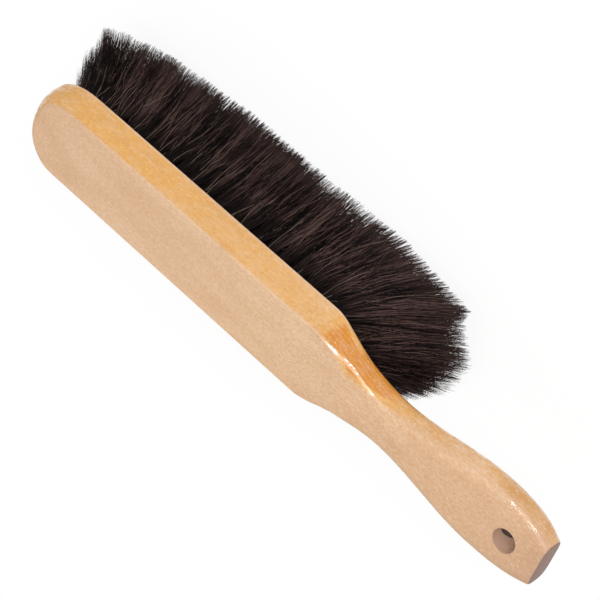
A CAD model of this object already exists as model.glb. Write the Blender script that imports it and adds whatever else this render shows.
"""A dusting brush in lacquered beech and horsehair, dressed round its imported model.

Metres, +Z up. The brush stands on its hair, and +X runs from the nose of the block to the handle's end.
"""

import math

import bpy
import numpy as np
from bpy.props import FloatProperty, FloatVectorProperty, IntProperty, PointerProperty
from mathutils import Matrix, Vector


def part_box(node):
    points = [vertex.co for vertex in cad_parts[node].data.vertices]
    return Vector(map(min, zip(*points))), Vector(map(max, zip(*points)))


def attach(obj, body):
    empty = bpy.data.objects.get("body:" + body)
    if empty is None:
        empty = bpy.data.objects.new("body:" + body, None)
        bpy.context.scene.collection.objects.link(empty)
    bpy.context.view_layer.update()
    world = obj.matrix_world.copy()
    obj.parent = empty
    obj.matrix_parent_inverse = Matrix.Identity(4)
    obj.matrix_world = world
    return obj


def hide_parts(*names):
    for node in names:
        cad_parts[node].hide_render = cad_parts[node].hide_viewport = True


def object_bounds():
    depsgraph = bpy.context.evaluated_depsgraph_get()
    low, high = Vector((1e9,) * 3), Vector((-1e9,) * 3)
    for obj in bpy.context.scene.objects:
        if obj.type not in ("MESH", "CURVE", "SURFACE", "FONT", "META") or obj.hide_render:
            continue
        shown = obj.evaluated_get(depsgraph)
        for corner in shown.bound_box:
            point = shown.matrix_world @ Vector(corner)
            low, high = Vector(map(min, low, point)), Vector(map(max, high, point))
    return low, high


bl_info = {
    "name": "Dusting brush",
    "version": (1, 0, 0),
    "blender": (4, 5, 0),
    "location": "3D View > Sidebar > Brush",
    "description": "Models a one-piece beech dusting brush with tufts of horsehair",
    "category": "Add Mesh",
}

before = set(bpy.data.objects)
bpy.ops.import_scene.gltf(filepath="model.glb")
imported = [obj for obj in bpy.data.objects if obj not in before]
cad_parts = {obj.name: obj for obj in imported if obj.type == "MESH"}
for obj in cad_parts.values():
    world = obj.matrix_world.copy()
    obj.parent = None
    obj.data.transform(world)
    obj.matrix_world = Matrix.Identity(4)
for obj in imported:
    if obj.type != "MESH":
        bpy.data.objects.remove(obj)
PACKED_LOW, PACKED_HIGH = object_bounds()
WOOD_LOW, WOOD_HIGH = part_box("block_and_handle")

QUARTER_TURN = math.pi / 2
SMOOTH_ANGLE = math.radians(32)

# Points that touch are welded, and cutters run past what they cut
WELD_DISTANCE = 0.00001
CUT_OVERRUN = 0.002

# A face is square to an axis when its normal points at least this close to it
SQUARE_NORMAL = 0.95

# How finely the wood is divided along its length, from the nose to the handle's end
NOSE_STEPS = 30
BLOCK_STEPS = 24
SHOULDER_STEPS = 40
NECK_STEPS = 32
BELLY_STEPS = 28

# How finely one half section is divided, from the middle of the back to the middle of the face
BACK_STEPS = 6
UPPER_STEPS = 26
LOWER_STEPS = 8
FACE_STEPS = 6
END_ARRIS_STEPS = 2

# Sides of the hang hole and of a blind hole
HOLE_SIDES = 64
TUFT_HOLE_SIDES = 20

# Shares and powers that give the wood's outlines their curves
NOSE_FULLNESS = 2.8
FLAT_NOSE_FULLNESS = 2.15
SHOULDER_POWERS = (1.4, 1.9)
END_POWER = 2.7
DIP_POWER = 0.5
TONGUE_POWERS = (1.7, 0.62)
CROWN_SHARE = 0.36
ROUNDING_SHARE = 0.62
BLOCK_SIDE_FULLNESS = 1.25
NOSE_SIDE_FULLNESS = 1.9
HANDLE_FULLNESS = 3.0
UNDERSIDE_FULLNESS = 2.7

# How the field of hair spreads, lifts and narrows to the nose, to the handle and to its sides
NOSE_FLARE_POWER = 1.6
NOSE_LIFT_POWER = 3
HANDLE_FLARE_POWER = 4
FULL_FLARE_SHARE = 0.94
SIDE_GROWTH_SHARE = 0.34
FAR_CORNER_SHARE = 0.26
CORNER_SHARES = (0.2, 0.12)
CORNER_POWER = 6

# How the hairs fill the field: a row's overlap with the next, and how much denser they are at the rim and
# towards the handle, where they spread. Some of the places tried are dropped for that
ROW_COUNT = 4
CELL_OVERLAP_SHARE = 1.1
RIM_CROWDING = 1.9
HANDLE_STRETCH = 2.5
HANDLE_STRETCH_POWER = 3
TRIES_PER_HAIR = 4

# How soon a hair opens out of its tuft, spreads to its place and bends into its clump
OPENING_POWER = 0.4
FLARE_POWER = 1.35
CLUMP_POWER = 6

# One hair: its rings from the root to the end, how thick each is, and its sides
HAIR_RING_SHARES = (0, 0.06, 0.3, 0.6, 0.86, 1)
HAIR_TAPER_SHARES = (1, 1, 1, 0.95, 0.7, 0.3)
HAIR_SIDES = 3

# How far a clump's middle stays off the edge of its cell, and how rare short hairs are
CLUMP_MARGIN_SHARE = 0.25
SHORT_HAIR_POWER = 6

# The least and the most from hair to hair: how far it is drawn to its clump, how much of its tuft's roundness
# it has and how thick it is. A stray is thin, ends anywhere and waves less often. Waves turn in radians
GATHER_SHARES = (0.1, 0.75)
ROUND_SHARES = (0.5, 1)
THICKNESS_SHARES = (0.7, 1.3)
WAVE_ANGLE = 9
STRAY_THICKNESS = 0.55
STRAY_REACH_SHARES = (0.3, 0.95)
STRAY_WAVE_ANGLES = (2, 6)

# How much of a hair's tone is its own, its wisp's, its clump's and its lock's
TONE_SHARES = (0.42, 0.25, 0.15, 0.18)

# Seeds of the hairs and of what they have in common: a clump's middle and lean, each along and across, its
# length and its tone, a lock's lean, length and tone, and a wisp's tone. The hash makes even shares of them
HAIR_SEED = 8
CLUMP_SEEDS = (1, 2, 3, 4, 5, 6)
LOCK_SEEDS = (7, 8, 9, 10)
WISP_SEEDS = (11,)
HASH_STEPS = (12.9898, 78.233, 37.719)
HASH_STRETCH = 43758.5453

# How the side of the hair swells, at places from the nose to the handle as shares of the field's length
SWELL_STOPS = (
    (0, -1.3), (0.05, 0.3), (0.14, 0.7), (0.19, 0.9), (0.24, 0.4),
    (0.38, 0.3), (0.67, -1), (0.8, -0.4), (0.9, 0.5), (1, 0),
)

# How much of the lacquer's honey colour the sides have, at places given as shares of the wood's length
HONEY_STOPS = (
    (0, 0.6), (0.18, 0.55), (0.34, 0.39), (0.5, 0.39), (0.54, 0.34),
    (0.572, 0.36), (0.592, 1), (0.69, 0.95), (0.735, 0.45), (0.765, 0.27),
    (0.86, 0.26), (0.9, 0.36), (0.93, 0.45), (1, 0.43),
)

# How glossy the lacquer on the sides is, at shares of the wood's length
GLOSS_STOPS = (
    (0, 0.6), (0.5, 0.5), (0.54, 0.34), (0.572, 0.36), (0.592, 1),
    (0.69, 0.95), (0.735, 0.5), (0.94, 0.6), (1, 0.6),
)

# How much of the lacquer's colour and gloss is worn off the edge along the bristle face
WORN_SHARE = 0.8

# The wood's finishes, in the order of its material slots, and what each of its points keeps of them
LACQUERED, SAWN, BORED = range(3)
FINISH_MARKS = ("honey", "gloss", "shade", "crown")

# How the dark level in the hang hole slants along the brush, and the height over which it starts
SHADE_SLANT = 1.0
SHADE_EDGE = 0.0008

# How dark the wood is, from its palest (0) to its darkest (1), at shares of the wood's length
SHADE_STOPS = (
    (0, 0.4), (0.12, 0.3), (0.4, 0.15), (0.56, 0.1), (0.63, 0.2),
    (0.73, 0.3), (0.86, 0.34), (0.95, 0.65), (1, 1),
)

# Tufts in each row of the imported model, whose few thick strands stand for more tufts of real hair
PACKED_TUFTS = (14, 15, 15, 14)

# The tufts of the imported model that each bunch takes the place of: row, first and last
BUNCHES = (
    (1, 1, 5), (1, 6, 9), (1, 10, 14), (2, 1, 8), (2, 9, 15),
    (3, 1, 8), (3, 9, 15), (4, 1, 5), (4, 6, 9), (4, 10, 14),
)


def setting(name, description, default, **settings):
    """A property that holds a number."""
    return FloatProperty(name=name, description=description, default=default, **settings)


def size(name, description, default):
    """A length property."""
    return setting(name, description, default, unit="LENGTH", precision=5)


def portion(name, description, default):
    """A property for a share of something, from 0 to 1."""
    return setting(name, description, default, subtype="FACTOR", min=0, max=1)


def triple(name, description, default, **settings):
    """A property that holds three numbers."""
    return FloatVectorProperty(name=name, description=description, default=default, size=3, **settings)


def colour(name, description, default):
    """A colour property."""
    return triple(name, description, default, subtype="COLOR", min=0, max=1)


def step_from_hole(name, description, default):
    """A property for a place, measured from the middle of the hang hole at the back."""
    return triple(name, description, default, subtype="TRANSLATION")


class WoodSizes(bpy.types.PropertyGroup):
    """Sizes of the block and handle."""

    thickness: size("Board", "Thickness of the board", WOOD_HIGH.z - WOOD_LOW.z)
    block_length: size("Block", "From the nose to where the shoulders start", 0.202)
    shoulder_length: size("Shoulders", "From the block to the neck", 0.0555)
    rise_length: size("Belly rise", "From the neck to the belly", 0.0615)
    fall_length: size("Belly fall", "From the belly to the end cut", 0.038)
    block_width: size("Block width", "Width at the bristle face", WOOD_HIGH.y - WOOD_LOW.y)
    side_lean: size("Side lean", "How far each side leans in to the back", 0.0048)
    face_arris: size("Arris", "Rounding at the edge of the bristle face", 0.0014)
    nose_length: size("Nose", "Length of the rounded nose at the face", 0.033)
    flat_nose_length: size("Back nose", "Length of the rounded nose at the back", 0.018)
    nose_slope: size("Nose slope", "How far the back starts behind the tip", 0.0092)
    flat_overrun: size("Back overrun", "How far the flat back runs on past the block", 0.004)
    tongue_length: size("Tongue", "Length of the round end of the flat back", 0.024)
    neck_width: size("Neck", "Width at the neck", 0.0236)
    neck_dip: size("Neck dip", "How far the back dips at the neck", 0.0005)
    belly_width: size("Belly", "Width at the belly", 0.0402)
    end_width: size("End cut", "Width at the end cut", 0.026)
    end_rise: size("End rise", "How far the underside rises at the end cut", 0.0046)
    end_arris: size("End arris", "Bevel round the end cut", 0.0004)
    hang_hole_radius: size("Hang hole", "Radius of the hang hole", 0.0064)
    hang_hole_inset: size("Hole inset", "From the hang hole's middle to the end cut", 0.0199)
    rim: size("Rim", "How far the rim of the hang hole is eased", 0.0004)
    side_fade: size("Side fade", "Depth under the back over which the block turns warmer", 0.0024)
    handle_fade: size("Handle fade", "Depth under the back over which the handle turns warmer", 0.009)
    worn_edge: size("Worn edge", "Height of the pale worn edge along the bristle face", 0.0016)
    bore_depth: size("Bore shade", "Depth in the hang hole from which its wood is dark", 0.0132)
    tuft_hole_radius: size("Tuft hole", "Radius of a blind hole", 0.0036)
    tuft_hole_depth: size("Hole depth", "Depth of a blind hole", 0.0105)


class HairSizes(bpy.types.PropertyGroup):
    """Sizes of the hair and the rows that it stands in."""

    row_inset: size("Row inset", "From the block's side to the outer rows", 0.00685)
    inner_row_inset: size("Inner start", "From the nose to the first tuft of an inner row", 0.0155)
    outer_row_inset: size("Outer start", "From the nose to the first tuft of an outer row", 0.0225)
    inner_row_overrun: size("Inner end", "How far the inner rows run past the block", 0.0115)
    outer_row_stop: size("Outer end", "How far before the shoulders the outer rows stop", 0.0035)
    inner_row_tufts: IntProperty(name="Inner tufts", description="Tufts in an inner row", default=22, min=2)
    outer_row_tufts: IntProperty(name="Outer tufts", description="Tufts in an outer row", default=20, min=2)
    hairs: IntProperty(name="Hairs", description="Hairs in a bunch of tufts", default=5600, min=1)
    trim_length: size("Trim", "Length of the hair out of its holes", WOOD_LOW.z)
    nose_flare: size("Nose flare", "How far the ends spread past the nose", 0.025)
    handle_flare: size("Handle flare", "How far the ends spread under the handle", 0.0445)
    nose_lean: size("Lean", "How far all of the ends lean to the nose", 0.004)
    side_flare: size("Side flare", "How far the ends spread to a side", 0.0152)
    side_swell: size("Swell", "How unevenly the ends spread to a side", 0.0023)
    nose_lift: size("Nose lift", "How much shorter the hair reaches at the nose", 0.016)
    handle_lift: size("Handle lift", "How much shorter the hair reaches at the handle", 0.006)
    hair_radius: size("Hair", "Radius of a hair", 0.00015)
    root_radius: size("Root", "Radius of a tuft in its hole", 0.0031)
    root_depth: size("Root depth", "How far up its hole a hair starts", 0.002)
    clump_size: size("Clump", "Distance between clumps of ends", 0.002)
    clump_lean: size("Clump lean", "How far a clump leans off its place", 0.0005)
    clump_length: size("Clump length", "How unlike the clumps are in length", 0.001)
    wisp_size: size("Wisp", "Distance between wisps of one tone", 0.0008)
    lock_size: size("Lock", "Distance between locks of hair", 0.0052)
    lock_lean: size("Lock lean", "How far a lock leans off its place", 0.0026)
    lock_length: size("Lock length", "How unlike the locks are in length", 0.002)
    thinning: portion("Thinning", "How much of its length a short hair lacks", 0.4)
    tuft_round: size("Round tufts", "How much shorter a tuft is at its edge", 0.0016)
    shortness: size("Short ends", "How much shorter than the trim a hair may end", 0.0009)
    scatter: size("Scatter", "How far the hairs of a tuft cross each other", 0.003)
    wave: size("Wave", "How far a hair waves off its line", 0.0012)
    stray_lean: size("Strays", "How far a stray hair bows off its line", 0.003)
    stray_share: portion("Stray share", "Share of the hairs that stray", 0.015)


class FinishColours(bpy.types.PropertyGroup):
    """Colours of the wood, the hair and the stage."""

    back: colour("Back", "Palest wood of the back", (0.88, 0.60, 0.38))
    back_dark: colour("Dark back", "Darkest wood of the back", (0.65, 0.40, 0.26))
    side: colour("Side", "Wood of the sides", (0.87, 0.455, 0.12))
    side_dark: colour("Dark side", "Sides where the wood is darkest", (0.66, 0.34, 0.11))
    pool: colour("Pooled lacquer", "Sides where the lacquer pooled", (0.79, 0.29, 0.015))
    pool_ring: colour("Pooled rings", "Growth rings under the pooled lacquer", (0.60, 0.20, 0.02))
    grain: colour("Grain", "Darker wood between the growth rings", (0.62, 0.33, 0.15))
    ray: colour("Rays", "Pale rays in the wood", (0.90, 0.68, 0.47))
    fleck: colour("Fleck", "Fine flecks in the wood", (0.45, 0.22, 0.10))
    sawn: colour("Sawn", "Wood of the end cut and the bristle face", (0.26, 0.165, 0.15))
    bored: colour("Bored", "Wood in the bores", (0.66, 0.46, 0.34))
    bored_dark: colour("Deep bore", "Wood deep in the hang hole", (0.08, 0.042, 0.03))
    hair_dark: colour("Hair", "Darkest hair", (0.003, 0.0015, 0.0015))
    hair_brown: colour("Brown hair", "Browner hair", (0.185, 0.108, 0.095))
    hair_end: colour("Hair ends", "Worn ends of the hair", (0.095, 0.057, 0.051))
    stray: colour("Stray hair", "Pale stray hairs", (0.31, 0.225, 0.175))
    floor: colour("Floor", "Floor", (0.9, 0.9, 0.9))


class StageSizes(bpy.types.PropertyGroup):
    """The floor, the camera and the lamps."""

    floor_size: size("Floor", "Width of the floor", 8.0)
    lens: setting("Lens", "Focal length", 135.76, subtype="DISTANCE_CAMERA")
    camera_roll: setting("Roll", "Turn of the camera about its view", math.radians(-116.097), subtype="ANGLE")
    camera_from_hole: step_from_hole("Camera", "Camera, from the hang hole", (0.247643, 0.693071, 0.75199))
    aim_from_hole: step_from_hole("Aim", "Middle of the view, from the hang hole", (-0.146961, 0.028701, 0.0))
    key_power: setting("Key", "Power of the large soft lamp", 9, unit="POWER")
    fill_power: setting("Fill", "Power of the fill lamp", 4, unit="POWER")
    glint_power: setting("Glint", "Power of the card seen in gloss", 32, unit="POWER")
    ambient: setting("Ambient", "Strength of the even light all round", 0.55, min=0)


def blend(low, high, share):
    """The value at a share of the way from low to high."""
    return low + (high - low) * share


def clamp(share):
    """A share kept from 0 to 1."""
    return min(max(share, 0), 1)


def ease(share):
    """A share from 0 to 1 that starts and ends without a slope."""
    share = clamp(share)
    return share * share * (3 - 2 * share)


def share_between(place, start, end):
    """How far along a place lies from start to end."""
    return (place - start) / (end - start)


def neck_place(wood):
    """Where the neck is narrowest, from the nose."""
    return wood.block_length + wood.shoulder_length


def belly_place(wood):
    """Where the belly is widest, from the nose."""
    return neck_place(wood) + wood.rise_length


def wood_length(wood):
    """The whole wood, from the nose to the end cut."""
    return belly_place(wood) + wood.fall_length


def nose_tip(wood):
    """The nose's place in the world."""
    return WOOD_HIGH.x - wood_length(wood)


def half_width(wood, place):
    """Half the width of the wood at its widest level, past the nose."""
    neck, belly = neck_place(wood), belly_place(wood)
    if place <= wood.block_length:
        return wood.block_width / 2
    if place <= neck:
        left = 1 - share_between(place, wood.block_length, neck) ** SHOULDER_POWERS[0]
        return blend(wood.neck_width, wood.block_width, left ** SHOULDER_POWERS[1]) / 2
    if place <= belly:
        return blend(wood.neck_width, wood.belly_width, ease(share_between(place, neck, belly))) / 2
    falling = share_between(place, belly, wood_length(wood)) ** END_POWER
    return blend(wood.belly_width, wood.end_width, falling) / 2


def flat_end(wood):
    """Where the flat back's tongue starts, from the nose."""
    return wood.block_length + wood.flat_overrun


def tongue_end(wood):
    """Where the flat back's tongue ends, from the nose."""
    return flat_end(wood) + wood.tongue_length


def tongue_half_width(wood, place):
    """Half the width of the flat back, which ends in a round tongue."""
    along = clamp(share_between(place, flat_end(wood), tongue_end(wood)))
    return (1 - along ** TONGUE_POWERS[0]) ** TONGUE_POWERS[1] * (wood.block_width / 2 - wood.side_lean)


def flat_half_width(wood, place):
    """Half the width of the level part of the back: the flat and its tongue, then the handle's crown."""
    tongue = tongue_half_width(wood, place)
    if place <= flat_end(wood):
        return tongue
    return max(tongue, half_width(wood, place) * CROWN_SHARE)


def heights(wood, place):
    """The back and the underside of the wood over the bristle face."""
    neck, belly = neck_place(wood), belly_place(wood)
    falling = clamp(share_between(place, tongue_end(wood), neck)) ** DIP_POWER
    rising = ease(share_between(place, neck, belly))
    lifted = max(share_between(place, belly, wood_length(wood)), 0) ** END_POWER
    return wood.thickness - wood.neck_dip * (falling - rising), wood.end_rise * lifted


def rounding_at(wood, place):
    """How far the section has turned from the block's (0) to the handle's (1)."""
    return ease(share_between(place, wood.block_length, neck_place(wood)) / ROUNDING_SHARE)


def widest_height(wood, place):
    """The height over the bristle face at which the wood is widest."""
    return blend(wood.face_arris, sum(heights(wood, place)) / 2, rounding_at(wood, place))


def half_section(wood, place, block_fullness=BLOCK_SIDE_FULLNESS):
    """One half section as (distance from the middle, height), from the back's middle to the face's."""
    rounding = rounding_at(wood, place)
    top, bottom = heights(wood, place)
    wide, flat = half_width(wood, place), flat_half_width(wood, place)
    wide_height = widest_height(wood, place)
    face = blend(wide - wood.face_arris, wide * CROWN_SHARE, rounding)
    power = 2 / blend(block_fullness, HANDLE_FULLNESS, rounding)
    under_power = 2 / blend(2, UNDERSIDE_FULLNESS, rounding)
    points = [(flat * step / BACK_STEPS, top) for step in range(BACK_STEPS)]
    for step in range(UPPER_STEPS + 1):
        angle = QUARTER_TURN * step / UPPER_STEPS
        out, up = math.sin(angle) ** power, max(math.cos(angle), 0) ** power
        points.append((blend(flat, wide, out), blend(wide_height, top, up)))
    for step in range(1, LOWER_STEPS + 1):
        angle = QUARTER_TURN * step / LOWER_STEPS
        out, down = max(math.cos(angle), 0) ** under_power, math.sin(angle) ** under_power
        points.append((blend(face, wide, out), blend(wide_height, bottom, down)))
    points += [(face * (1 - step / FACE_STEPS), bottom) for step in range(1, FACE_STEPS + 1)]
    return points


def nose_ring(wood, angle):
    """One half ring of the rounded nose: each level has its own tip, length and fullness."""
    fullness = blend(NOSE_SIDE_FULLNESS, BLOCK_SIDE_FULLNESS, ease(angle / QUARTER_TURN))
    wide = wood.block_width / 2
    ring = []
    for out, height in half_section(wood, wood.nose_length, fullness):
        side = clamp(share_between(out, wide - wood.side_lean, wide))
        tip = blend(wood.nose_slope, 0, side)
        length = blend(wood.flat_nose_length, wood.nose_length, side)
        power = 2 / blend(FLAT_NOSE_FULLNESS, NOSE_FULLNESS, side)
        along = tip + length * (1 - max(math.cos(angle), 0) ** power)
        ring.append((along, out * math.sin(angle) ** power, height))
    return ring


def wood_rings(wood):
    """Half rings of points from the nose to the end cut."""
    rings = [nose_ring(wood, QUARTER_TURN * step / NOSE_STEPS) for step in range(NOSE_STEPS + 1)]
    spans = (
        (wood.nose_length + wood.flat_nose_length / 2, wood.block_length, BLOCK_STEPS),
        (wood.block_length, neck_place(wood), SHOULDER_STEPS),
        (neck_place(wood), belly_place(wood), NECK_STEPS),
        (belly_place(wood), wood_length(wood), BELLY_STEPS),
    )
    for start, end, steps in spans:
        for step in range(1, steps + 1):
            place = blend(start, end, step / steps)
            rings.append([(place, out, height) for out, height in half_section(wood, place)])
    return rings


def row_ends(wood, hair, outer):
    """Where an outer or an inner row starts and ends, from the nose, and its number of tufts."""
    if outer:
        return hair.outer_row_inset, wood.block_length - hair.outer_row_stop, hair.outer_row_tufts
    return hair.inner_row_inset, wood.block_length + hair.inner_row_overrun, hair.inner_row_tufts


def row_spread(wood, hair):
    """The distance between the two outer rows."""
    return wood.block_width - 2 * hair.row_inset


def row_pitch(wood, hair):
    """The distance between two rows."""
    return row_spread(wood, hair) / (ROW_COUNT - 1)


def tuft_places(wood, hair, row):
    """The middles of a row's holes, as (place along the brush, place across it)."""
    start, end, count = row_ends(wood, hair, row in (0, ROW_COUNT - 1))
    spread = row_spread(wood, hair)
    across = spread * row / (ROW_COUNT - 1) - spread / 2
    return [(blend(start, end, number / (count - 1)), across) for number in range(count)]


def tuft_holes(wood, hair):
    """The middles of all blind holes in the world, as (x, y)."""
    rows = [tuft_places(wood, hair, row) for row in range(ROW_COUNT)]
    return [(nose_tip(wood) + along, across) for places in rows for along, across in places]


def hang_hole(wood, depth=0):
    """The middle of the hang hole in the world, at a depth under the back."""
    return Vector((WOOD_HIGH.x - wood.hang_hole_inset, 0, WOOD_HIGH.z - depth))


def deselect():
    """Clear the selection, as each operator acts on all that is selected."""
    bpy.ops.object.select_all(action="DESELECT")


def select_only(item):
    """Make one object active and selected."""
    deselect()
    item.select_set(True)
    bpy.context.view_layer.objects.active = item


def select_faces(item, chosen):
    """Open an object in edit mode with only the chosen faces selected."""
    select_only(item)
    bpy.ops.object.mode_set(mode="EDIT")
    bpy.ops.mesh.select_mode(type="FACE")
    bpy.ops.mesh.select_all(action="DESELECT")
    bpy.ops.object.mode_set(mode="OBJECT")
    for polygon in item.data.polygons:
        polygon.select = chosen(polygon)
    bpy.ops.object.mode_set(mode="EDIT")


def apply_place(item):
    """Put an object's place into its mesh."""
    select_only(item)
    bpy.ops.object.transform_apply(location=True, rotation=True, scale=True)


def apply_boolean(item, cutter):
    """Cut one object out of another and delete the cutter."""
    modifier = item.modifiers.new("cut", "BOOLEAN")
    modifier.operation = "DIFFERENCE"
    modifier.solver = "EXACT"
    modifier.object = cutter
    select_only(item)
    bpy.ops.object.modifier_apply(modifier=modifier.name)
    bpy.data.objects.remove(cutter, do_unlink=True)


def add_wood_shell(wood):
    """A sheet wrapped round the rings of the wood, closed at the nose and filled at the end cut."""
    rings = wood_rings(wood)
    around = 2 * len(rings[0]) - 1
    bpy.ops.mesh.primitive_grid_add(x_subdivisions=len(rings) - 1, y_subdivisions=around - 1, size=1)
    shell = bpy.context.object
    shell.name = shell.data.name = "beech_block_and_handle"
    tip = nose_tip(wood)
    for vertex in shell.data.vertices:
        ring = rings[round((vertex.co.x + 0.5) * (len(rings) - 1))]
        step = round((vertex.co.y + 0.5) * (around - 1))
        side = -1 if step >= len(ring) else 1
        along, out, height = ring[step if side > 0 else around - 1 - step]
        vertex.co = (tip + along, side * out, WOOD_LOW.z + height)
    select_only(shell)
    bpy.ops.object.mode_set(mode="EDIT")
    bpy.ops.mesh.select_mode(type="VERT")
    bpy.ops.mesh.select_all(action="SELECT")
    bpy.ops.mesh.remove_doubles(threshold=WELD_DISTANCE)
    bpy.ops.mesh.select_all(action="DESELECT")
    bpy.ops.mesh.select_non_manifold()
    bpy.ops.mesh.edge_face_add()
    bpy.ops.mesh.select_all(action="SELECT")
    bpy.ops.mesh.normals_make_consistent(inside=False)
    bpy.ops.object.mode_set(mode="OBJECT")
    return shell


def bevel_end(shell, width):
    """Ease the edge round the end cut, which is the only face with more than four corners."""
    select_faces(shell, lambda polygon: len(polygon.vertices) > 4)
    bpy.ops.mesh.region_to_loop()
    bpy.ops.mesh.bevel(offset=width, segments=END_ARRIS_STEPS)
    bpy.ops.object.mode_set(mode="OBJECT")


def add_hang_hole_cutter(wood):
    """A cylinder through the handle that opens a little at the back, as the eased rim does."""
    bpy.ops.mesh.primitive_cylinder_add(
        vertices=HOLE_SIDES,
        radius=wood.hang_hole_radius,
        depth=wood.thickness - 2 * wood.rim,
        end_fill_type="NGON",
        location=hang_hole(wood, wood.thickness / 2),
    )
    cutter = bpy.context.object
    growth = 1 + wood.rim / wood.hang_hole_radius
    for up in (1, -1):
        select_faces(cutter, lambda polygon: polygon.normal.z * up > SQUARE_NORMAL)
        bpy.ops.mesh.extrude_region_move(TRANSFORM_OT_translate={"value": (0, 0, wood.rim * up)})
        bpy.ops.transform.resize(value=(growth, growth, 1))
        bpy.ops.mesh.extrude_region_move(TRANSFORM_OT_translate={"value": (0, 0, CUT_OVERRUN * up)})
        bpy.ops.object.mode_set(mode="OBJECT")
    apply_place(cutter)
    return cutter


def add_tuft_hole_cutter(wood, hair):
    """All of the drills for the blind holes, as one object."""
    depth = wood.tuft_hole_depth + CUT_OVERRUN
    height = WOOD_LOW.z + wood.tuft_hole_depth - depth / 2
    drills = []
    for middle in tuft_holes(wood, hair):
        bpy.ops.mesh.primitive_cylinder_add(
            vertices=TUFT_HOLE_SIDES,
            radius=wood.tuft_hole_radius,
            depth=depth,
            location=(*middle, height),
        )
        drills.append(bpy.context.object)
    deselect()
    for drill in drills:
        drill.select_set(True)
    bpy.ops.object.join()
    cutter = bpy.context.object
    apply_place(cutter)
    return cutter


def paint_faces(wood, hair, item):
    """Give the end cut and all that is level with the bristle face the sawn finish, and the bores theirs."""
    bores = [(*hang_hole(wood).xy, wood.hang_hole_radius, WOOD_HIGH.z - 2 * wood.rim)]
    for middle in tuft_holes(wood, hair):
        bores.append((*middle, wood.tuft_hole_radius, WOOD_LOW.z + wood.tuft_hole_depth))
    x, y, radius, top = np.array(bores).T
    for polygon in item.data.polygons:
        corners = np.array([item.data.vertices[index].co for index in polygon.vertices])
        reach = np.hypot(corners[:, None, 0] - x, corners[:, None, 1] - y) - radius - WELD_DISTANCE
        in_bore = ((reach.max(axis=0) < 0) & (corners[:, 2].min() < top + WELD_DISTANCE)).any()
        end_cut = polygon.normal.x > SQUARE_NORMAL and polygon.center.x > WOOD_HIGH.x - wood.end_arris
        on_face = corners[:, 2].max() < WOOD_LOW.z + WELD_DISTANCE
        polygon.material_index = BORED if in_bore else SAWN if end_cut or on_face else LACQUERED


def level_at(stops, share):
    """The level that a row of stops gives at a share of the length."""
    return np.interp(share, *zip(*stops))


def mark_finish(wood, item):
    """Keep in each point how honey coloured and glossy it is, how dark, and if it is off the flat back."""
    marks = []
    for vertex in item.data.vertices:
        place = vertex.co.x - nose_tip(wood)
        share = place / wood_length(wood)
        round_share = ease(share_between(place, tongue_end(wood), neck_place(wood)))
        fade = blend(wood.side_fade, wood.handle_fade, round_share)
        height = vertex.co.z - WOOD_LOW.z
        depth = heights(wood, max(place, 0))[0] - height
        over_edge = share_between(height - widest_height(wood, max(place, 0)), wood.worn_edge, 0)
        worn = ease(over_edge) * (1 - rounding_at(wood, place))
        lacquer = ease(depth / fade) * (1 - worn * WORN_SHARE)
        honey, gloss = level_at(HONEY_STOPS, share) * lacquer, level_at(GLOSS_STOPS, share) * lacquer
        shade = level_at(SHADE_STOPS, share) * (1 - worn)
        crown = float(abs(vertex.co.y) > tongue_half_width(wood, place) + WELD_DISTANCE)
        marks.append((honey, gloss, shade, crown))
    for label, values in zip(FINISH_MARKS, zip(*marks)):
        item.data.attributes.new(label, "FLOAT", "POINT").data.foreach_set("value", values)


def field_ends(wood, hair, across):
    """Where the field of hair starts and ends, from the nose, at each distance from its middle."""
    half_spread = row_spread(wood, hair) / 2
    inner, outer = row_ends(wood, hair, False), row_ends(wood, hair, True)
    outward = np.clip(share_between(np.abs(across), half_spread / (ROW_COUNT - 1), half_spread), 0, 1)
    margin = (inner[1] - inner[0]) / (inner[2] - 1) / 2
    return blend(inner[0], outer[0], outward) - margin, blend(inner[1], outer[1], outward) + margin


def spread_ends(wood, hair, along, across):
    """Where hairs that start over (along, across) end, and how far their ends stay over the trim plane."""
    start, finish = field_ends(wood, hair, across)
    end = np.clip(share_between(along, start, finish) * 2 - 1, -1, 1)
    to_nose, to_handle = np.maximum(-end, 0), np.clip(end / FULL_FLARE_SHARE, 0, 1)
    side_share = np.clip(across / row_spread(wood, hair) * 2, -1, 1)
    handle_flare = hair.handle_flare * (1 - FAR_CORNER_SHARE * ((1 - side_share) / 2) ** 2)
    flare = handle_flare * to_handle**HANDLE_FLARE_POWER - hair.nose_flare * to_nose**NOSE_FLARE_POWER
    lift = hair.handle_lift * to_handle**HANDLE_FLARE_POWER + hair.nose_lift * to_nose**NOSE_LIFT_POWER
    swell = hair.side_swell * level_at(SWELL_STOPS, (end + 1) / 2)
    corner = 1 - (CORNER_SHARES[0] + CORNER_SHARES[1] * side_share) * to_handle**CORNER_POWER
    side = side_share * (hair.side_flare * (1 + SIDE_GROWTH_SHARE * end) + swell) * corner
    return along + flare - hair.nose_lean, across + side, lift


def cell_shares(points, cell_size, seeds):
    """Shares from 0 to 1 that the points of one cell have in common, a row of them for each seed."""
    column, line = np.floor(points / cell_size).T
    turns = column * HASH_STEPS[0] + line * HASH_STEPS[1] + np.array(seeds)[:, None] * HASH_STEPS[2]
    mixed = np.sin(turns) * HASH_STRETCH
    return mixed - np.floor(mixed)


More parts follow.
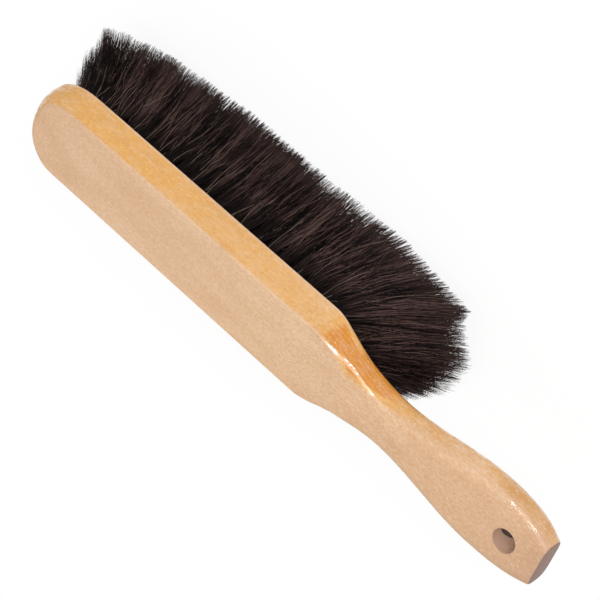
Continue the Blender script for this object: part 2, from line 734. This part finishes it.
def scatter_hairs(wood, hair, row, first, last, rng):
    """Even places over a bunch's part of the field, denser where the ends spread, and the tuft of each."""
    number = hair.hairs * TRIES_PER_HAIR
    offset = rng.uniform(-1, 1, number)
    if row in (0, ROW_COUNT - 1):
        offset = (1 if row else -1) * (1 - 2 * ((1 - offset) / 2) ** RIM_CROWDING)
    across = row_pitch(wood, hair) * (row + offset / 2 * CELL_OVERLAP_SHARE) - row_spread(wood, hair) / 2
    start, finish = field_ends(wood, hair, across)
    share = blend((first - 1) / PACKED_TUFTS[row], last / PACKED_TUFTS[row], rng.random(number))
    stretch = 1 + HANDLE_STRETCH * np.maximum(share * 2 - 1, 0) ** HANDLE_STRETCH_POWER
    kept = np.flatnonzero(rng.random(number) * (1 + HANDLE_STRETCH) < stretch)[: hair.hairs]
    along, across = blend(start, finish, share)[kept], across[kept]
    places = np.array(tuft_places(wood, hair, row))
    nearest = np.abs(along[:, None] - places[None, :, 0]).argmin(axis=1)
    return np.stack([along, across], axis=1), places[nearest]


def aim_hairs(wood, hair, field, lean, rng):
    """Where the hairs end, turned back at the field's edges, and how far over the trim plane they stay."""
    aimed = field + (lean * 2 - 1) * hair.lock_lean + rng.normal(0, hair.scatter, field.shape)
    rim = (row_pitch(wood, hair) * CELL_OVERLAP_SHARE + row_spread(wood, hair)) / 2
    aimed[:, 1] = np.clip(aimed[:, 1], -rim, rim)
    start, finish = field_ends(wood, hair, aimed[:, 1])
    aimed[:, 0] = start + np.abs(aimed[:, 0] - start)
    aimed[:, 0] = finish - np.abs(finish - aimed[:, 0])
    along, across, lift = spread_ends(wood, hair, *aimed.T)
    return np.stack([along, across], axis=1), lift


def gather_hairs(hair, ends, inset, lean, rng):
    """How far each hair's end is drawn to its clump's middle and leans with the clump."""
    corner = np.floor(ends / hair.clump_size) + CLUMP_MARGIN_SHARE
    middle = (corner + inset * (1 - 2 * CLUMP_MARGIN_SHARE)) * hair.clump_size
    drawn = (middle - ends) * rng.uniform(*GATHER_SHARES, (len(ends), 1))
    return drawn + (lean * 2 - 1) * hair.clump_lean


def hair_paths(wood, hair, row, first, last, rng):
    """The middles of every ring of a bunch's hairs, in the world, with each hair's tone and thickness."""
    field, tufts = scatter_hairs(wood, hair, row, first, last, rng)
    number = len(field)
    cell = field - tufts
    (place, _), (next_place, _) = tuft_places(wood, hair, row)[:2]
    square = np.clip(cell / np.array([next_place - place, row_pitch(wood, hair)]) * 2, -1, 1)
    root = square * np.sqrt(1 - square[:, ::-1] ** 2 / 2) * hair.root_radius
    *lock_lean, lock_length, lock_tone = cell_shares(field, hair.lock_size, LOCK_SEEDS)
    ends, lift = aim_hairs(wood, hair, field, np.stack(lock_lean, axis=1), rng)
    *clump_sides, clump_length, clump_tone = cell_shares(ends, hair.clump_size, CLUMP_SEEDS)
    inset, lean = np.stack(clump_sides[:2], axis=1), np.stack(clump_sides[2:], axis=1)
    gathered = gather_hairs(hair, ends, inset, lean, rng)
    (wisp_tone,) = cell_shares(ends, hair.wisp_size, WISP_SEEDS)

    stray = rng.random(number) < hair.stray_share
    bow = np.where(stray, hair.stray_lean, hair.wave)[:, None] * rng.normal(0, 1, (number, 2))
    turn = np.where(stray, rng.uniform(*STRAY_WAVE_ANGLES, number), WAVE_ANGLE)[:, None]
    phase = rng.uniform(0, math.tau, (number, 2))
    short = np.abs(rng.normal(0, hair.shortness, number)) + clump_length * hair.clump_length
    short += hair.tuft_round * square[:, 0] ** 2 * rng.uniform(*ROUND_SHARES, number)
    short += hair.lock_length * lock_length
    drop = hair.trim_length - np.maximum(lift + short, 0)
    reach = 1 - hair.thinning * rng.random(number) ** SHORT_HAIR_POWER
    reach = np.where(stray, rng.uniform(*STRAY_REACH_SHARES, number), reach)

    rings = np.empty((number, len(HAIR_RING_SHARES), 3))
    for ring, ring_share in enumerate(HAIR_RING_SHARES):
        share = (reach * ring_share)[:, None]
        opened = root + (cell - root) * share**OPENING_POWER
        flat = opened + (ends - field) * share**FLARE_POWER + gathered * share**CLUMP_POWER
        flat += bow * np.sin(phase + share * turn) * np.sin(share * math.pi)
        rings[:, ring, :2] = flat + tufts
        rings[:, ring, 2] = hair.trim_length - drop * share[:, 0]
    rings[:, 0, :2] = root + tufts
    rings[:, 0, 2] += hair.root_depth
    rings[:, :, 0] += nose_tip(wood)
    tones = (rng.random(number), wisp_tone, clump_tone, lock_tone)
    tone = sum(share * part for share, part in zip(TONE_SHARES, tones))
    thickness = np.where(stray, STRAY_THICKNESS, rng.uniform(*THICKNESS_SHARES, number))
    return rings, np.where(stray, 1, tone), thickness


def add_strand_mesh(name, rings, tone, radii):
    """One mesh of closed, tapered strands, with each point's tone and place along its strand."""
    number, steps, _ = rings.shape
    turns = math.tau * np.arange(HAIR_SIDES) / HAIR_SIDES
    circle = np.stack([np.cos(turns), np.sin(turns), np.zeros(HAIR_SIDES)], axis=1)
    taper = radii[:, None] * np.array(HAIR_TAPER_SHARES)
    points = rings[:, :, None, :] + circle[None, None] * taper[:, :, None, None]

    first = np.arange(number)[:, None, None] * steps * HAIR_SIDES
    ring = np.arange(steps - 1)[None, :, None] * HAIR_SIDES
    side = np.arange(HAIR_SIDES)[None, None, :]
    after = (side + 1) % HAIR_SIDES
    here, there = first + ring, first + ring + HAIR_SIDES
    walls = np.stack([here + side, there + side, there + after, here + after], axis=-1).reshape(-1, 4)
    roots = first[:, 0] + np.arange(HAIR_SIDES)[None, :]
    ends = first[:, 0] + (steps - 1) * HAIR_SIDES + np.arange(HAIR_SIDES)[None, ::-1]

    mesh = bpy.data.meshes.new(name)
    mesh.from_pydata(points.reshape(-1, 3), [], walls.tolist() + roots.tolist() + ends.tolist())
    for label, values in (
        ("strand_tone", np.repeat(tone, steps * HAIR_SIDES)),
        ("strand_place", np.tile(np.repeat(HAIR_RING_SHARES, HAIR_SIDES), number)),
    ):
        mesh.attributes.new(label, "FLOAT", "POINT").data.foreach_set("value", values.astype(np.float32))
    mesh.shade_smooth()
    item = bpy.data.objects.new(name, mesh)
    bpy.context.scene.collection.objects.link(item)
    return item


class Tree:
    """Adds and links the nodes of one material or node group."""

    def __init__(self, tree):
        self.tree = tree

    def feed(self, node, name, value):
        """Give a node's input a value, or link a socket to it."""
        if isinstance(value, bpy.types.NodeSocket):
            self.tree.links.new(value, node.inputs[name])
        else:
            node.inputs[name].default_value = value

    def add(self, kind, inputs=None, **settings):
        """A new node with its settings and its inputs."""
        node = self.tree.nodes.new(kind)
        for name, value in settings.items():
            setattr(node, name, value)
        for name, value in (inputs or {}).items():
            self.feed(node, name, value)
        return node

    def attribute(self, name):
        """The value that each point of a piece keeps under a name."""
        return self.add("ShaderNodeAttribute", attribute_name=name).outputs["Fac"]

    def math(self, operation, first, second=0.0):
        """A Math node's output."""
        return self.add("ShaderNodeMath", {0: first, 1: second}, operation=operation).outputs[0]

    def plus(self, first, second):
        """The sum of two values."""
        return self.math("ADD", first, second)

    def times(self, first, second):
        """The product of two values."""
        return self.math("MULTIPLY", first, second)

    def remap(self, value, low, high, to_low=0.0, to_high=1.0, kind="SMOOTHSTEP"):
        """A Map Range node's output."""
        inputs = {"Value": value, "From Min": low, "From Max": high, "To Min": to_low, "To Max": to_high}
        return self.add("ShaderNodeMapRange", inputs, interpolation_type=kind).outputs["Result"]

    def between(self, share, low, high):
        """The value at a share of the way from low to high."""
        return self.remap(share, 0, 1, low, high, "LINEAR")

    def mix(self, factor, first, second):
        """A Mix node's colour, from two sockets or colours, which are its inputs 6 and 7."""
        ends = [end if isinstance(end, bpy.types.NodeSocket) else (*end, 1.0) for end in (first, second)]
        return self.add("ShaderNodeMix", {0: factor, 6: ends[0], 7: ends[1]}, data_type="RGBA").outputs[2]

    def mapped(self, vector, scale=(1, 1, 1), location=(0, 0, 0)):
        """Coordinates that are stretched along the grain or moved."""
        inputs = {"Vector": vector, "Scale": scale, "Location": location}
        return self.add("ShaderNodeMapping", inputs).outputs[0]

    def noise(self, vector, scale, detail=2.0, roughness=0.5):
        """A noise texture's value, stretched along the grain."""
        place = self.mapped(vector, scale)
        inputs = {"Vector": place, "Scale": 1.0, "Detail": detail, "Roughness": roughness}
        return self.add("ShaderNodeTexNoise", inputs).outputs["Fac"]

    def bump(self, shader, distance, height):
        """Raise a shader's surface by a height."""
        node = self.add("ShaderNodeBump", {"Strength": 0.5, "Distance": distance, "Height": height})
        self.feed(shader, "Normal", node.outputs["Normal"])


def new_material(name):
    """A material, its nodes and its Principled shader."""
    material = bpy.data.materials.new(name)
    material.use_nodes = True
    return material, Tree(material.node_tree), material.node_tree.nodes["Principled BSDF"]


# The grain of beech. Scales are per metre along, across and through the board. The growth rings are a wave
# round a line off the piece, given by its turn per metre and by how far it wanders, in radians
GRAIN_OUTPUTS = ("Rings", "Flecks", "Fibres", "Cloud")
RING_MIDDLE_ACROSS = 0.012
RING_MIDDLE_DOWN = 0.05
RING_ANGLE = 2800
RING_WANDER = 30
RING_RANGE = (-0.4, 1)
WANDER_SCALE = (7, 26, 26)
FLECK_SCALE = (360, 800, 800)
FLECK_RANGE = (0.36, 0.1)
FIBRE_SCALE = (420, 1000, 1000)
CLOUD_SCALE = (24, 90, 90)


def beech_group():
    """The grain of beech: growth rings, short flecks, fine fibres and clouds, all running along X."""
    group = bpy.data.node_groups.new("beech_grain", "ShaderNodeTree")
    group.interface.new_socket("Vector", in_out="INPUT", socket_type="NodeSocketVector")
    for label in GRAIN_OUTPUTS:
        group.interface.new_socket(label, in_out="OUTPUT", socket_type="NodeSocketFloat")
    tree = Tree(group)
    vector = tree.add("NodeGroupInput").outputs["Vector"]
    split = tree.add("ShaderNodeSeparateXYZ", {0: vector})
    across = tree.plus(split.outputs[1], RING_MIDDLE_ACROSS)
    down = tree.plus(split.outputs[2], RING_MIDDLE_DOWN)
    squares = tree.plus(tree.math("POWER", across, 2), tree.math("POWER", down, 2))
    wander = tree.times(tree.noise(vector, WANDER_SCALE), RING_WANDER)
    angle = tree.plus(tree.times(tree.math("SQRT", squares), RING_ANGLE), wander)
    rings = tree.remap(tree.math("SINE", angle), *RING_RANGE)
    cells = tree.add("ShaderNodeTexVoronoi", {"Vector": tree.mapped(vector, FLECK_SCALE), "Scale": 1.0})
    flecks = tree.remap(cells.outputs["Distance"], *FLECK_RANGE)
    fibres = tree.noise(vector, FIBRE_SCALE, detail=3, roughness=0.65)
    cloud = tree.noise(vector, CLOUD_SCALE, detail=4, roughness=0.6)
    out = tree.add("NodeGroupOutput")
    for label, value in zip(GRAIN_OUTPUTS, (rings, flecks, fibres, cloud)):
        tree.feed(out, label, value)
    return group


def grain_node(tree, group, location=(0, 0, 0)):
    """The piece's own coordinates, and the beech grain in a material."""
    place = tree.add("ShaderNodeTexCoord").outputs["Object"]
    node = tree.add("ShaderNodeGroup", node_tree=group)
    tree.feed(node, "Vector", tree.mapped(place, location=location))
    return place, node


# Lacquered beech: where its figure and its clouds grow stronger, in metres from the end of the block
FIGURE_SPAN = (-0.04, 0.01)
CLOUD_SPAN = (0.05, 0.08)

# The values of a mark or of the grain over which each finish comes in
SIDE_RANGE = (0.05, 0.5)
POOL_RANGE = (0.62, 0.95)
DARK_SIDE_RANGE = (0.28, 0.56)
POOL_RING_RANGE = (0.55, 1)
CLOUD_RANGE = (0.38, 0.72)
FIBRE_RANGE = (0.42, 0.7)
RAY_RANGE = (0.47, 0.32)
DRIP_RANGE = (0.5, 0.55)
WET_RANGE = (0.08, 0.3)

# How strong each is, or how strong at its least and at its most
CROWN_TINT = 0.06
CLOUD_STRENGTHS = (1, 3)
RING_SHARES = (0.12, 0.6)
CLOUD_SHARE = 0.3
FIBRE_SHARE = 0.34
RAY_SHARES = (0.3, 0.45)
FLECK_SHARES = (0.18, 0.32)
BACK_AND_SIDE_ROUGHNESS = (0.48, 0.26)
FIBRE_ROUGHNESS = 0.1

# The lacquer's drips and ripples per metre, and how high it ripples and its pores stand, as a share of that
DRIP_SCALE = (150, 260, 260)
RIPPLE_SCALE = (190, 420, 420)
RIPPLE_HEIGHT = 0.0003
PORE_SHARE = 0.04


def lacquered_beech(colours, group, shoulder):
    """Clear lacquer over beech: satin and pale on the flat back, glossy and honey coloured down the sides."""
    material, tree, shader = new_material("lacquered_beech")
    place, grain = grain_node(tree, group)
    rings, flecks, fibres, cloud = [grain.outputs[label] for label in GRAIN_OUTPUTS]
    honey, gloss, shade, crown = [tree.attribute(label) for label in FINISH_MARKS]
    along = tree.add("ShaderNodeSeparateXYZ", {0: place}).outputs[0]
    figure = tree.remap(along, shoulder + FIGURE_SPAN[0], shoulder + FIGURE_SPAN[1])
    handle = tree.remap(along, shoulder + CLOUD_SPAN[0], shoulder + CLOUD_SPAN[1])
    patches = tree.times(tree.math("SUBTRACT", cloud, 0.5), tree.between(handle, *CLOUD_STRENGTHS))
    patched = tree.plus(honey, tree.times(patches, honey))
    side, pool = tree.remap(patched, *SIDE_RANGE), tree.remap(patched, *POOL_RANGE)

    pale = tree.mix(shade, colours.back, colours.back_dark)
    back = tree.mix(tree.times(crown, CROWN_TINT), pale, colours.side)
    warm = tree.mix(tree.remap(shade, *DARK_SIDE_RANGE), colours.side, colours.side_dark)
    wood = tree.mix(pool, tree.mix(side, back, warm), colours.pool)
    ringed = tree.times(rings, tree.remap(honey, *POOL_RING_RANGE, *RING_SHARES))
    wood = tree.mix(ringed, wood, tree.mix(pool, colours.grain, colours.pool_ring))
    wood = tree.mix(tree.remap(cloud, *CLOUD_RANGE, 0, CLOUD_SHARE), wood, colours.grain)
    wood = tree.mix(tree.remap(fibres, *FIBRE_RANGE, 0, FIBRE_SHARE), wood, colours.grain)
    rays = tree.times(tree.remap(fibres, *RAY_RANGE), tree.between(figure, *RAY_SHARES))
    wood = tree.mix(rays, wood, colours.ray)
    flecked = tree.times(flecks, tree.between(figure, *FLECK_SHARES))
    tree.feed(shader, "Base Color", tree.mix(flecked, wood, colours.fleck))

    uneven = tree.times(tree.math("SUBTRACT", fibres, 0.5), FIBRE_ROUGHNESS)
    tree.feed(shader, "Roughness", tree.plus(tree.between(side, *BACK_AND_SIDE_ROUGHNESS), uneven))
    drips = tree.remap(tree.noise(place, DRIP_SCALE, roughness=0.6), *DRIP_RANGE)
    tree.feed(shader, "Coat Weight", tree.times(drips, tree.remap(gloss, *WET_RANGE)))
    tree.feed(shader, "Coat Roughness", 0.03)
    tree.feed(shader, "Specular IOR Level", 0.2)
    pores = tree.times(fibres, PORE_SHARE)
    tree.bump(shader, RIPPLE_HEIGHT, tree.plus(tree.noise(place, RIPPLE_SCALE), pores))
    return material


# Bare beech: how far its grain is moved off the lacquered wood's, how strong it is and how high
BARE_GRAIN_MOVE = (0.4, 0, 0)
BARE_RING_SHARE = 0.12
BARE_CLOUD_SHARE = 0.3
BARE_FIBRE_HEIGHT = 0.0002


def bare_beech(name, wood_colour, colours, group, dark_below=None):
    """Bare beech, as the saw or the drill leaves it, and dark under a slanting level if there is one."""
    material, tree, shader = new_material(name)
    place, grain = grain_node(tree, group, BARE_GRAIN_MOVE)
    ringed = tree.times(grain.outputs["Rings"], BARE_RING_SHARE)
    clouded = tree.times(grain.outputs["Cloud"], BARE_CLOUD_SHARE)
    wood = tree.mix(clouded, tree.mix(ringed, wood_colour, colours.fleck), colours.fleck)
    if dark_below:
        split = tree.add("ShaderNodeSeparateXYZ", {0: tree.mapped(place, location=-dark_below)})
        level = tree.plus(split.outputs[2], tree.times(split.outputs[0], SHADE_SLANT))
        wood = tree.mix(tree.remap(level, 0, -SHADE_EDGE), wood, colours.bored_dark)
    tree.feed(shader, "Base Color", wood)
    tree.feed(shader, "Roughness", 0.6)
    tree.bump(shader, BARE_FIBRE_HEIGHT, grain.outputs["Fibres"])
    return material


# Horsehair: the tones over which it turns brown and pale, and the stretches of a hair that its root's shade
# and its worn end take up, with the brown that the shade leaves and how much of the end is worn
BROWN_TONES = (0.46, 0.85)
STRAY_TONES = (0.99, 1)
ROOT_SPAN = (0, 0.45)
ROOT_BROWN = 0.06
END_SPAN = (0.72, 1)
END_WEAR = 0.5


def horsehair(colours):
    """Near-black brown hair: each strand has its own tone, and the ends are worn browner."""
    material, tree, shader = new_material("horsehair")
    tone, place = tree.attribute("strand_tone"), tree.attribute("strand_place")
    rooted = tree.remap(place, *ROOT_SPAN, ROOT_BROWN, 1)
    browned = tree.times(tree.remap(tone, *BROWN_TONES), rooted)
    brown = tree.mix(browned, colours.hair_dark, colours.hair_brown)
    worn = tree.mix(tree.remap(place, *END_SPAN, 0, END_WEAR), brown, colours.hair_end)
    tree.feed(shader, "Base Color", tree.mix(tree.remap(tone, *STRAY_TONES), worn, colours.stray))
    tree.feed(shader, "Roughness", 0.5)
    tree.feed(shader, "Specular IOR Level", 0.06)
    return material


# How brightly the floor glows to the camera and in mirrors, and how much of what they see is glow
FLOOR_GLOW = 1.04
FLOOR_GLOW_SHARE = 0.85


def floor_material(colours):
    """A pale floor that the camera and mirrors see as white, with the brush's soft shadow on it."""
    material, tree, shader = new_material("pale_floor")
    tree.feed(shader, "Base Color", (*colours.floor, 1.0))
    tree.feed(shader, "Roughness", 0.9)
    glow = tree.add("ShaderNodeEmission", {"Color": (1, 1, 1, 1), "Strength": FLOOR_GLOW})
    path = tree.add("ShaderNodeLightPath")
    seen = tree.math("MAXIMUM", path.outputs["Is Camera Ray"], path.outputs["Is Glossy Ray"])
    seen = tree.math("MAXIMUM", seen, path.outputs["Is Transmission Ray"])
    glowing = tree.times(seen, FLOOR_GLOW_SHARE)
    mixed = tree.add("ShaderNodeMixShader", {0: glowing, 1: shader.outputs[0], 2: glow.outputs[0]})
    tree.feed(material.node_tree.nodes["Material Output"], "Surface", mixed.outputs[0])
    return material


class BRUSH_OT_add_wood(bpy.types.Operator):
    """Model the block and handle, drill it and lacquer it"""

    bl_idname = "brush.add_wood"
    bl_label = "Block and handle"

    def execute(self, context):
        wood, hair, colours = context.scene.brush_wood, context.scene.brush_hair, context.scene.brush_colours
        piece = add_wood_shell(wood)
        bevel_end(piece, wood.end_arris)
        apply_boolean(piece, add_hang_hole_cutter(wood))
        apply_boolean(piece, add_tuft_hole_cutter(wood, hair))
        grain = beech_group()
        deep = hang_hole(wood, wood.bore_depth)
        piece.data.materials.clear()
        for finish in (
            lacquered_beech(colours, grain, nose_tip(wood) + wood.block_length),
            bare_beech("sawn_beech", colours.sawn, colours, grain),
            bare_beech("bored_beech", colours.bored, colours, grain, deep),
        ):
            piece.data.materials.append(finish)
        paint_faces(wood, hair, piece)
        mark_finish(wood, piece)
        select_only(piece)
        bpy.ops.object.shade_smooth_by_angle(angle=SMOOTH_ANGLE)
        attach(piece, "root")
        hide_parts("block_and_handle")
        return {"FINISHED"}


class BRUSH_OT_add_hair(bpy.types.Operator):
    """Grow the four rows of horsehair out of their holes"""

    bl_idname = "brush.add_hair"
    bl_label = "Horsehair"

    def execute(self, context):
        wood, hair, colours = context.scene.brush_wood, context.scene.brush_hair, context.scene.brush_colours
        material = horsehair(colours)
        rng = np.random.default_rng(HAIR_SEED)
        for row, first, last in BUNCHES:
            rings, tone, thickness = hair_paths(wood, hair, row - 1, first, last, rng)
            name = f"horsehair_row{row}_{first:02d}_{last:02d}"
            piece = add_strand_mesh(name, rings, tone, thickness * hair.hair_radius)
            piece.data.materials.append(material)
            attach(piece, "root")
            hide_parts(*[f"tuft_row{row}_{number:02d}" for number in range(first, last + 1)])
        return {"FINISHED"}


def add_camera(wood, stage):
    """The camera, rolled as the photograph is."""
    place = hang_hole(wood) + Vector(stage.camera_from_hole)
    aim = hang_hole(wood) + Vector(stage.aim_from_hole)
    bpy.ops.object.camera_add(location=place)
    camera = bpy.context.object
    turn = (place - aim).to_track_quat("Z", "Y").to_matrix() @ Matrix.Rotation(stage.camera_roll, 3, "Z")
    camera.rotation_euler = turn.to_euler()
    camera.data.lens = stage.lens
    bpy.context.scene.camera = camera


# Each lamp's name, place, width and power among the stage's values, and if it shows only in gloss
LAMPS = (
    ("key_lamp", (0.62, 0.95, 1.02), 0.6, "key_power", False),
    ("fill_lamp", (-0.5, -0.7, 1.2), 1.2, "fill_power", False),
    ("glint_card", (0.2, 1.3, 0.68), 0.6, "glint_power", True),
)


def add_lamp(name, place, width, power, gloss_only):
    """A square soft lamp that looks at the middle of the brush, or a card that shows only in gloss."""
    bpy.ops.object.light_add(type="AREA", location=place)
    lamp = bpy.context.object
    lamp.name = lamp.data.name = name
    lamp.rotation_euler = (Vector(place) - Vector((0, 0, WOOD_HIGH.z))).to_track_quat("Z", "Y").to_euler()
    lamp.data.size = width
    lamp.data.energy = power
    lamp.visible_diffuse = not gloss_only


class BRUSH_OT_add_stage(bpy.types.Operator):
    """Add the floor, the lamps and the camera"""

    bl_idname = "brush.add_stage"
    bl_label = "Stage"

    def execute(self, context):
        wood, stage = context.scene.brush_wood, context.scene.brush_stage
        deselect()
        bpy.ops.mesh.primitive_plane_add(size=stage.floor_size, location=(0, 0, PACKED_LOW.z))
        floor = context.object
        floor.name = floor.data.name = "floor"
        floor.data.materials.append(floor_material(context.scene.brush_colours))
        for name, place, width, power, gloss_only in LAMPS:
            add_lamp(name, place, width, getattr(stage, power), gloss_only)
        world = bpy.data.worlds.new("soft_studio")
        world.use_nodes = True
        light = world.node_tree.nodes["Background"].inputs
        light["Color"].default_value = (1, 1, 1, 1)
        light["Strength"].default_value = stage.ambient
        context.scene.world = world
        add_camera(wood, stage)
        context.scene.view_settings.view_transform = "Standard"
        return {"FINISHED"}


class BRUSH_PT_panel(bpy.types.Panel):
    """Everything that makes the brush"""

    bl_label = "Dusting brush"
    bl_idname = "BRUSH_PT_panel"
    bl_space_type = "VIEW_3D"
    bl_region_type = "UI"
    bl_category = "Brush"

    def draw(self, context):
        layout = self.layout
        for operator in (BRUSH_OT_add_wood, BRUSH_OT_add_hair, BRUSH_OT_add_stage):
            layout.operator(operator.bl_idname)
        for group in GROUPS:
            values = getattr(context.scene, group)
            box = layout.box()
            for label in values.bl_rna.properties.keys():
                if label not in ("name", "rna_type"):
                    box.prop(values, label)


GROUPS = {
    "brush_wood": WoodSizes,
    "brush_hair": HairSizes,
    "brush_colours": FinishColours,
    "brush_stage": StageSizes,
}
CLASSES = (*GROUPS.values(), BRUSH_OT_add_wood, BRUSH_OT_add_hair, BRUSH_OT_add_stage, BRUSH_PT_panel)


def register():
    """Register the classes and hang the values on the scene."""
    for item in CLASSES:
        bpy.utils.register_class(item)
    for name, kind in GROUPS.items():
        setattr(bpy.types.Scene, name, PointerProperty(type=kind))


def unregister():
    """Take the values and the classes away again."""
    for name in GROUPS:
        delattr(bpy.types.Scene, name)
    for item in reversed(CLASSES):
        bpy.utils.unregister_class(item)


def main():
    """Make the brush and its stage."""
    register()
    bpy.ops.brush.add_wood()
    bpy.ops.brush.add_hair()
    bpy.ops.brush.add_stage()


if __name__ == "__main__":
    main()
